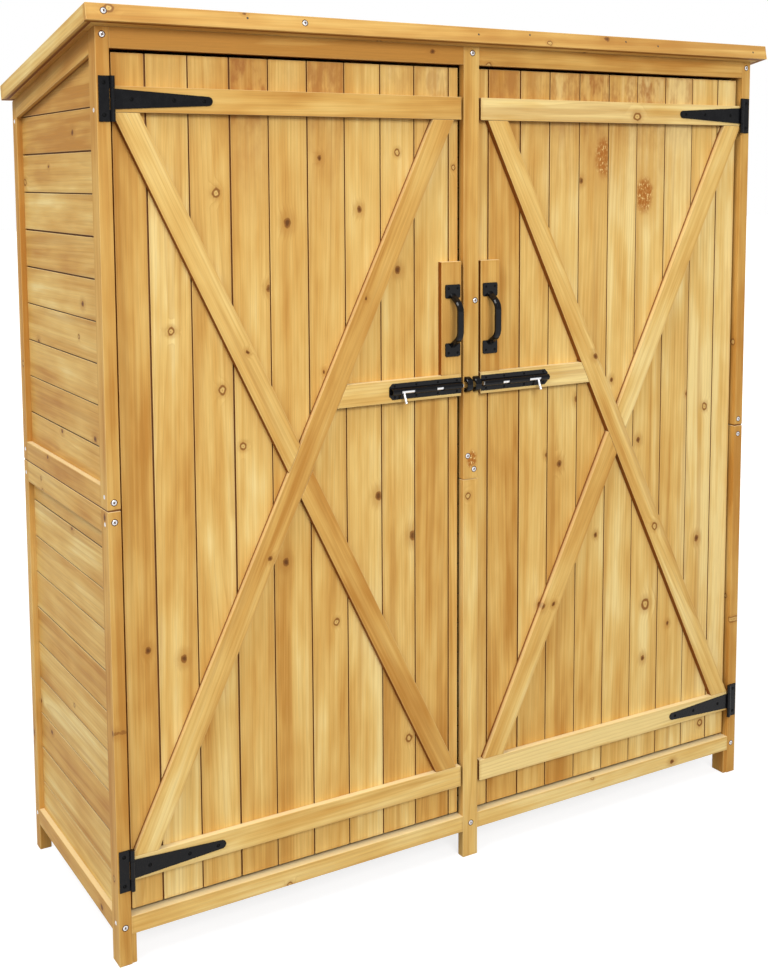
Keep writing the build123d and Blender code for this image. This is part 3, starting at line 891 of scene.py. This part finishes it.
# Tones of the pieces, from 0, deep orange, to 1, pale straw, and browning of the doors' boards at the top
DOOR_TONES = {
    "left": (0.32, 0.58, 0.60, 0.56, 0.42, 0.58, 0.62, 0.64, 0.58, 0.54),
    "right": (0.44, 0.42, 0.52, 0.54, 0.60, 0.72, 0.70, 0.84, 0.86, 0.78),
}
DOOR_STAINS = {
    "left": (0.0, 0.1, 0.2, 1.0, 0.2, 0.8, 0.1, 0.3, 0.5, 0.2),
    "right": (0.2, 0.7, 0.5, 0.7, 1.0, 0.8, 0.9, 0.6, 0.1, 0.1),
}
LEDGE_TONES = {"left": (0.88, 0.86, 0.14), "right": (0.95, 0.78, 1.20)}
BRACE_TONES = {"left": (0.40, 0.45, 0.60), "right": (0.28, 0.74, 0.66)}
SIDE_TONES = (0.50, 0.38, 0.46, 0.56, 0.42, 0.34, 0.52, 0.44, 0.58, 0.40)
# The topmost side boards are toned darker: painted shade under the roof's overhang
UPPER_SIDE_TONES = SIDE_TONES[3:] + (0.50, 0.32, 0.06)
BLOCK_TONE = 0.26
BLOCK_SPREAD = 0.02
LOWER_POST_TONE = 0.26
UPPER_POST_TONE = 0.30
LOWER_RAIL_TONE = 0.45
# The top rail is toned darker: painted shade under the roof's overhang
UPPER_RAIL_TONES = (0.45, 0.12)
REAR_RAIL_TONE = 0.40
MIDDLE_POST_TONES = (0.72, 0.42)
OTHER_TONES = (
    ("rear_lower_rails", 0.42),
    # The two top rails are toned darkest: painted shade under the front fascia's overhang
    ("front_rails", (0.76, 0.74, -0.10, 0.06)),
    ("door_stops", 0.24),
    ("floor_bearers", 0.35),
    ("roof_frame", 0.36),
    ("front_fascia", 0.18),
    ("rear_fascia", 0.62),
    ("side_fascias", 0.56),
)

UPPER_FOOT = SEAM + HALF_GAP

for side, sign in SIDES:
    door = f"{side}_door"
    gaps = [gap * MM for gap in DOOR_GAPS_MM[side]]
    start = LEFT_DOOR_START if sign < 0 else None
    panel(f"{side}_door_boards", door, ACROSS, DOOR_SEAMS[side], UP, DOOR_TONES[side], gaps, side, start)
    beams(f"{side}_door_ledges", door, LEDGE_TONES[side], spread=0.0, joint=BEAM_FLANK_SHADE, side=side)
    beams(f"{side}_door_braces", door, BRACE_TONES[side], spread=0.0, joint=BEAM_FLANK_SHADE, side=side)
    beams(f"{side}_handle_block", door, BLOCK_TONE, spread=BLOCK_SPREAD, joint=BEAM_FLANK_SHADE, side=side)
    beams(f"{side}_lower_posts", "cabinet", LOWER_POST_TONE)
    beams(f"{side}_upper_posts", "cabinet", UPPER_POST_TONE, foot=UPPER_FOOT)
    beams(f"{side}_lower_rails", "cabinet", LOWER_RAIL_TONE, joint=RAIL_FLANK_SHADE)
    beams(f"{side}_upper_rails", "cabinet", UPPER_RAIL_TONES, joint=RAIL_FLANK_SHADE, foot=UPPER_FOOT)
    panel(f"{side}_lower_boards", "cabinet", UP, LOWER_SEAMS, DEEP_AXIS, SIDE_TONES)
    panel(f"{side}_upper_boards", "cabinet", UP, UPPER_SEAMS, DEEP_AXIS, UPPER_SIDE_TONES)

panel("rear_lower_boards", "cabinet", UP, LOWER_SEAMS, ACROSS, SIDE_TONES[2:] + SIDE_TONES[:2])
panel("rear_upper_boards", "cabinet", UP, UPPER_SEAMS, ACROSS, SIDE_TONES[5:] + SIDE_TONES[:5])
for node, axis in (("floor_panel", DEEP_AXIS), ("roof_deck", DOWN_SLOPE)):
    panel(node, "cabinet", axis, even_seams(node, axis), ACROSS, SIDE_TONES)
beams("rear_upper_rails", "cabinet", REAR_RAIL_TONE, foot=UPPER_FOOT)
for node, tone in OTHER_TONES:
    beams(node, "cabinet", tone)


def middle_post():
    """The middle post, which is joined from a lower and an upper length."""
    chance = random.Random("middle_post")
    timber = Timber("middle_post_wood")
    for mesh in solids_of("middle_post"):
        lower = between(mesh, UP, None, POST_JOINT - POST_GAP / 2)
        upper = between(mesh, UP, POST_JOINT + POST_GAP / 2, None)
        for length, tone in zip((lower, upper), MIDDLE_POST_TONES):
            timber.add(length, chance, tone, BEAM_EDGE, side="middle")
        mesh.free()
    timber.build("middle_post", "cabinet", wood)


middle_post()


# Metal pieces

METAL_EDGE = 0.35 * MM
HOUSING_EDGE = 0.2 * MM
KEEPER_EDGE = 0.3 * MM
BOLT_EDGE = 0.5 * MM


def fitting(node, body, material, edge=METAL_EDGE):
    """Dresses a metal CAD node with slightly rounded edges and smooth round faces."""
    data = bpy.data.meshes.new(f"{node}_dressed")
    whole = bmesh.new()
    for mesh in solids_of(node):
        ease_edges(mesh, edge)
        part = bpy.data.meshes.new("part")
        mesh.to_mesh(part)
        whole.from_mesh(part)
        bpy.data.meshes.remove(part)
        mesh.free()
    for face in whole.faces:
        face.smooth = True
    whole.to_mesh(data)
    whole.free()
    data.set_sharp_from_angle(angle=SHARP_ANGLE)
    data.materials.append(material)
    piece = show(f"{node}_metal", data)
    level = piece.modifiers.new("even_shading", "WEIGHTED_NORMAL")
    level.keep_sharp = True
    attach(piece, body)
    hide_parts(node)


for side, _ in SIDES:
    fitting(f"{side}_handle", f"{side}_door", gloss_black)
    fitting(f"{side}_hinge_straps", f"{side}_door", satin_black)
    fitting(f"{side}_bolt_housing", f"{side}_door", gloss_black, HOUSING_EDGE)
    fitting(f"{side}_bolt", f"{side}_bolt", zinc, BOLT_EDGE)
fitting("hinge_leaves", "cabinet", satin_black)
fitting("bolt_keepers", "cabinet", gloss_black, KEEPER_EDGE)


# Screws and nails

SCREW_RADIUS = 4.3 * MM
SCREW_DOME = 0.9 * MM
SIDE_SHARE = 0.85
HOLE_SHARE = 1.32
HOLE_RISE = 0.06 * MM
ANY_TURN = 1.5
REAR_SINK = 0.5 * MM
REAR_DOME = 0.3 * MM
NAIL_RADIUS = 1.9 * MM
NAIL_DOME = 0.3 * MM

# Shape of a head, in shares of its radius: its rings of points, and the cross sunk into it
HEAD_RINGS = (0.16, 0.34, 0.50, 0.60, 0.78, 0.92, 1.0)
ROUNDING = 2.4
SKIRT = 0.3
CROSS_END = 0.55
CROSS_DEPTH = 0.55
CROSS_CORE = 0.2
ARM_HALF_WIDTH = 0.11
ARM_WALL = 0.05
WIDEST_ARM = 0.70
QUARTER = math.pi / 2
LEAST_GAP = 0.02

# Places of the cabinet's screws: X and Z on the middle post, and heights on the corner posts
MIDDLE_SCREWS = ((0.0022, 1.4621), (0.0086, 1.0306), (0.0014, 0.0631), (-0.0067, 0.7517), (0.0068, 0.7265))
CORNER_X = 0.6635
FRONT_HEIGHTS = (1.461, 0.7531, 0.7221, 0.0634)
SIDE_HEIGHTS = (0.0688, 0.7607, 0.7175, 1.35)
SIDE_DEPTHS = (FRONT + 0.0135, BACK - 0.011)
REAR_HEIGHTS = (0.0634, 0.7221, 0.7531, 1.355)

# Places of the fascias' fixings: X along the front, Y and Z on the sides
FASCIA_CORNER = 11 * MM
FASCIA_RISE = 15 * MM
FASCIA_SCREWS = (-0.6675, -0.3358)
FASCIA_NAILS = (-0.436, 0.0, 0.11, 0.331, 0.409, 0.658)
NAIL_STRAY = 4 * MM
SIDE_SINK = 0.4 * MM
SIDE_NAILS = ((0.0063, 1.4468), (0.2037, 1.4079), (-0.11, 1.4690))
SIDE_SCREW = (-0.1973, 1.4841)
SIDE_SCREW_SHARE = 0.9
SIDE_SCREW_DOME = 0.3 * MM

# Places of the fittings' screws, with their radius, dome and turn
HINGE_HEIGHTS = (0.158, 1.3665)
STRAP_START = 0.6505
STRAP_REACHES = (0.030, 0.098, 0.148)
LEAF_OFFSETS = (-0.024, 0.024)
HINGE_FACE = FRONT - 2 * MM
HINGE_SCREW = (3.4 * MM, 1.0 * MM)
STRAP_TURN = 0.4
LEAF_TURN = 0.9
PLATE_XS = (0.0315, 0.0715, 0.116, 0.160)
PLATE_HEIGHT = 0.8815
PLATE_OFFSETS = (-0.0098, 0.0098)
PLATE_FACE = FRONT - 1.5 * MM
PLATE_SCREW = (2.3 * MM, 0.7 * MM)
PLATE_TURN = 0.3
HANDLE_X = 0.040
HANDLE_HEIGHTS = (0.9405, 1.0545)
HANDLE_OFFSETS = (-0.0095, 0.0095)
HANDLE_FACE = FRONT - 2.5 * MM
HANDLE_SCREW = (2.5 * MM, 0.8 * MM)
HANDLE_TURN = 0.7


class Heads:
    """Gathers screw or nail heads into one object."""

    def __init__(self, name, material, body, slot):
        self.name, self.material, self.body, self.slot = name, material, body, slot
        self.mesh = bmesh.new()

    def add(self, centre, outward, radius, dome, cross=True, turn=0.0):
        """Adds one domed head, with a cross recess or plain."""
        spin = outward.to_track_quat("Z", "Y").to_matrix().to_4x4()
        place = Matrix.Translation(centre) @ spin @ Matrix.Rotation(turn, 4, "Z")
        rings = []
        for share in HEAD_RINGS:
            rings.append(self.ring(place, radius, dome, share, cross and share < CROSS_END))
        skirt = outward * (dome + radius * SKIRT)
        rings.append([self.mesh.verts.new(v.co - skirt) for v in rings[-1]])
        for inner, outer in zip(rings, rings[1:]):
            for i in range(len(inner)):
                j = (i + 1) % len(inner)
                self.mesh.faces.new((inner[i], outer[i], outer[j], inner[j]))
        self.mesh.faces.new(rings[0])

    def ring(self, place, radius, dome, share, recessed):
        """One ring of points of a head, lower inside the arms of the cross."""
        inner = math.asin(min(WIDEST_ARM, ARM_HALF_WIDTH / share))
        outer = min(QUARTER / 2 - LEAST_GAP, inner + ARM_WALL / max(share, CROSS_CORE))
        points = []
        for quarter in range(4):
            for angle in (-outer, -inner, 0, inner, outer, QUARTER / 2):
                height = dome * (1 - share**ROUNDING)
                if recessed and (abs(angle) <= inner or share < CROSS_CORE):
                    height -= CROSS_DEPTH * radius
                spot = Vector((
                    math.cos(quarter * QUARTER + angle) * share * radius,
                    math.sin(quarter * QUARTER + angle) * share * radius,
                    height,
                ))
                points.append(self.mesh.verts.new(place @ spot))
        return points

    def build(self):
        """Makes the object and lets it ride on its body."""
        bmesh.ops.recalc_face_normals(self.mesh, faces=self.mesh.faces[:])
        for face in self.mesh.faces:
            face.smooth = True
        data = bpy.data.meshes.new(self.name)
        self.mesh.to_mesh(data)
        self.mesh.free()
        data.set_sharp_from_angle(angle=SHARP_ANGLE)
        data.materials.append(self.material)
        piece = show(self.name, data)
        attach(piece, self.body)


def cabinet_screws():
    """Zinc screws in the posts, with dark rims of painted shade where their holes are."""
    chance = random.Random("cabinet screws")
    heads = Heads("cabinet_screws", screw_zinc, "cabinet", "zinc")
    holes = Heads("cabinet_screw_holes", hole_shade_brown, "cabinet", "wood")
    spots = list(MIDDLE_SCREWS)
    for sign in (-1, 1):
        spots += [(sign * CORNER_X, z) for z in FRONT_HEIGHTS]
    for x, z in spots:
        heads.add((x, FRONT, z), OUT_FRONT, SCREW_RADIUS, SCREW_DOME, turn=chance.uniform(0, ANY_TURN))
        holes.add((x, FRONT, z), OUT_FRONT, SCREW_RADIUS * HOLE_SHARE, HOLE_RISE, cross=False)
    for sign in (-1, 1):
        for z in SIDE_HEIGHTS:
            for y in SIDE_DEPTHS:
                spot = (sign * -LEFT, y, z)
                turn = chance.uniform(0, ANY_TURN)
                heads.add(spot, ACROSS * sign, SCREW_RADIUS * SIDE_SHARE, SCREW_DOME, turn=turn)
    for sign in (-1, 1):
        for z in REAR_HEIGHTS:
            spot = (sign * CORNER_X, BACK - REAR_SINK, z)
            heads.add(spot, DEEP_AXIS, SCREW_RADIUS, REAR_DOME, turn=chance.uniform(0, ANY_TURN))
    heads.build()
    holes.build()


def fascia_fixings():
    """Screws and nails along the roof's fascia boards."""
    chance = random.Random("fascia")
    screws = Heads("fascia_screws", screw_zinc, "cabinet", "zinc")
    holes = Heads("fascia_screw_holes", hole_shade_brown, "cabinet", "wood")
    nails = Heads("fascia_nails", nail_steel, "cabinet", "zinc")
    low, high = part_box("front_fascia")
    deck_normal = Vector((0, math.sin(ROOF_SLOPE), math.cos(ROOF_SLOPE)))
    foot = Vector((0, low.y, low.z + FASCIA_CORNER * math.sin(ROOF_SLOPE)))
    for x in FASCIA_SCREWS:
        spot = foot + deck_normal * FASCIA_RISE + ACROSS * x
        screws.add(spot, -DOWN_SLOPE, SCREW_RADIUS, SCREW_DOME, turn=chance.uniform(0, ANY_TURN))
        # A dark rim of painted shade round the screw
        holes.add(spot, -DOWN_SLOPE, SCREW_RADIUS * HOLE_SHARE, HOLE_RISE, cross=False)
    for x in FASCIA_NAILS:
        rise = FASCIA_RISE + chance.uniform(-NAIL_STRAY, NAIL_STRAY)
        spot = foot + deck_normal * rise + ACROSS * x
        nails.add(spot, -DOWN_SLOPE, NAIL_RADIUS, NAIL_DOME, cross=False)
    for sign in (-1, 1):
        side = sign * (high.x - SIDE_SINK)
        for place in SIDE_NAILS:
            nails.add((side, *place), ACROSS * sign, NAIL_RADIUS, NAIL_DOME, cross=False)
        screws.add((side, *SIDE_SCREW), ACROSS * sign, SCREW_RADIUS * SIDE_SCREW_SHARE, SIDE_SCREW_DOME)
    for heads in (screws, holes, nails):
        heads.build()


def hinge_screws():
    """Black pan-head screws in the straps and the leaves."""
    for side, sign in SIDES:
        heads = Heads(f"{side}_strap_screws", black_pit, f"{side}_door", "black_metal")
        for z in HINGE_HEIGHTS:
            for reach in STRAP_REACHES:
                spot = (sign * (STRAP_START - reach), HINGE_FACE, z)
                heads.add(spot, OUT_FRONT, *HINGE_SCREW, turn=STRAP_TURN)
        heads.build()
    heads = Heads("leaf_screws", black_pit, "cabinet", "black_metal")
    for _, sign in SIDES:
        for z in HINGE_HEIGHTS:
            for offset in LEAF_OFFSETS:
                spot = (sign * CORNER_X, HINGE_FACE, z + offset)
                heads.add(spot, OUT_FRONT, *HINGE_SCREW, turn=LEAF_TURN)
    heads.build()


def bolt_and_handle_screws():
    """Small black screws in the bolt plates and the handle bases."""
    for side, sign in SIDES:
        heads = Heads(f"{side}_door_fitting_screws", black_pit, f"{side}_door", "black_metal")
        for x in PLATE_XS:
            for offset in PLATE_OFFSETS:
                spot = (sign * x, PLATE_FACE, PLATE_HEIGHT + offset)
                heads.add(spot, OUT_FRONT, *PLATE_SCREW, turn=PLATE_TURN)
        for z in HANDLE_HEIGHTS:
            for offset in HANDLE_OFFSETS:
                spot = (sign * (HANDLE_X + offset), HANDLE_FACE, z)
                heads.add(spot, OUT_FRONT, *HANDLE_SCREW, turn=HANDLE_TURN)
        heads.build()


cabinet_screws()
fascia_fixings()
hinge_screws()
bolt_and_handle_screws()


# Floor, light and camera

FLOOR_REACH = 30.0
FLOOR_GREYS = ((0.31, 0.31, 0.31), (0.37, 0.37, 0.37))
FLOOR_NOISE = (14, 3.0)
FLOOR_ROUGHNESS = 0.9
FLOOR_GLOW = 0.80
FAR_GLOW = 1.05
GLOW_REACH = (1.2, 4.0)
SKY_STRENGTH = 0.56
WHITE = (1, 1, 1, 1)

# Lamps: name, place, width and power
LAMPS = (
    ("key", (-0.9, -4.9, 3.5), 2.4, 170),
    ("fill", (-3.9, -1.2, 5.1), 2.4, 168),
    ("back", (0.5, 4.5, 3.0), 3.0, 60),
)
LAMP_TARGET = Vector((0, 0, 0.75))

# The photograph's camera, solved from the shed's own lines: turns in radians, lengths in pixels
YAW, PITCH, ROLL = 0.53779, 0.10360, -0.004985
FOCAL_LENGTH = 1318.70
PICTURE_HEIGHT = 968
CENTRE_ROW = 315.0
SENSOR = 36.0
CAMERA_PLACE = (-1.32258, -2.12964, 1.24721)
CAMERA_RANGE = (0.05, 200)


def floor():
    """A plain pale floor that looks white to the camera and keeps the shed's shadow."""
    data = bpy.data.meshes.new("floor")
    low, high = -FLOOR_REACH, FLOOR_REACH
    data.from_pydata([(low, low, 0), (high, low, 0), (high, high, 0), (low, high, 0)], [], [(0, 1, 2, 3)])
    material, tree, shader = fresh_material("pale_floor")
    spot = position(tree)
    seen = put(tree, "ShaderNodeLightPath").outputs
    direct = larger(tree, seen["Is Camera Ray"], seen["Is Glossy Ray"])
    direct = larger(tree, direct, seen["Is Transmission Ray"])
    away = climb(tree, vector_calc(tree, "LENGTH", spot), *GLOW_REACH)
    feed(shader, {
        "Base Color": blend(tree, noise(tree, spot, *FLOOR_NOISE), *FLOOR_GREYS),
        "Roughness": FLOOR_ROUGHNESS,
        "Specular IOR Level": 0.0,
        "Emission Color": WHITE,
        "Emission Strength": times(tree, direct, graded(tree, away, FAR_GLOW - FLOOR_GLOW, FLOOR_GLOW)),
    })
    data.materials.append(material)
    piece = show("floor", data)


def sky():
    """A plain studio surround: soft white light, and pure white to the camera."""
    world = bpy.data.worlds.new("studio")
    bpy.context.scene.world = world
    world.use_nodes = True
    tree = world.node_tree
    tree.nodes.clear()
    seen = put(tree, "ShaderNodeLightPath").outputs
    direct = larger(tree, seen["Is Camera Ray"], seen["Is Transmission Ray"])
    strength = graded(tree, direct, 1.0 - SKY_STRENGTH, SKY_STRENGTH)
    light = put(tree, "ShaderNodeBackground", {"Color": WHITE, "Strength": strength})
    put(tree, "ShaderNodeOutputWorld", {0: light.outputs[0]})


def lamp(name, place, width, power):
    """A large soft lamp that looks at the middle of the shed."""
    data = bpy.data.lights.new(name, "AREA")
    data.shape = "DISK"
    data.size = width
    data.energy = power
    thing = show(name, data)
    thing.location = place
    thing.rotation_mode = "QUATERNION"
    thing.rotation_quaternion = (LAMP_TARGET - Vector(place)).to_track_quat("-Z", "Y")


def camera():
    """A camera where the photograph's was, with its framing."""
    forward = Vector((math.sin(YAW) * math.cos(PITCH), math.cos(YAW) * math.cos(PITCH), -math.sin(PITCH)))
    level = Vector((math.cos(YAW), -math.sin(YAW), 0))
    upright = level.cross(forward)
    right = math.cos(ROLL) * level + math.sin(ROLL) * upright
    up = math.cos(ROLL) * upright - math.sin(ROLL) * level
    data = bpy.data.cameras.new("camera")
    data.sensor_width = SENSOR
    data.lens = FOCAL_LENGTH * SENSOR / PICTURE_HEIGHT
    data.shift_y = (CENTRE_ROW - PICTURE_HEIGHT / 2) / PICTURE_HEIGHT
    data.clip_start, data.clip_end = CAMERA_RANGE
    thing = show("camera", data)
    turn = Matrix((right, up, -forward)).transposed().to_4x4()
    thing.matrix_world = Matrix.Translation(CAMERA_PLACE) @ turn
    bpy.context.scene.camera = thing


floor()
sky()
for settings in LAMPS:
    lamp(*settings)
camera()
bpy.context.scene.view_settings.view_transform = "Standard"
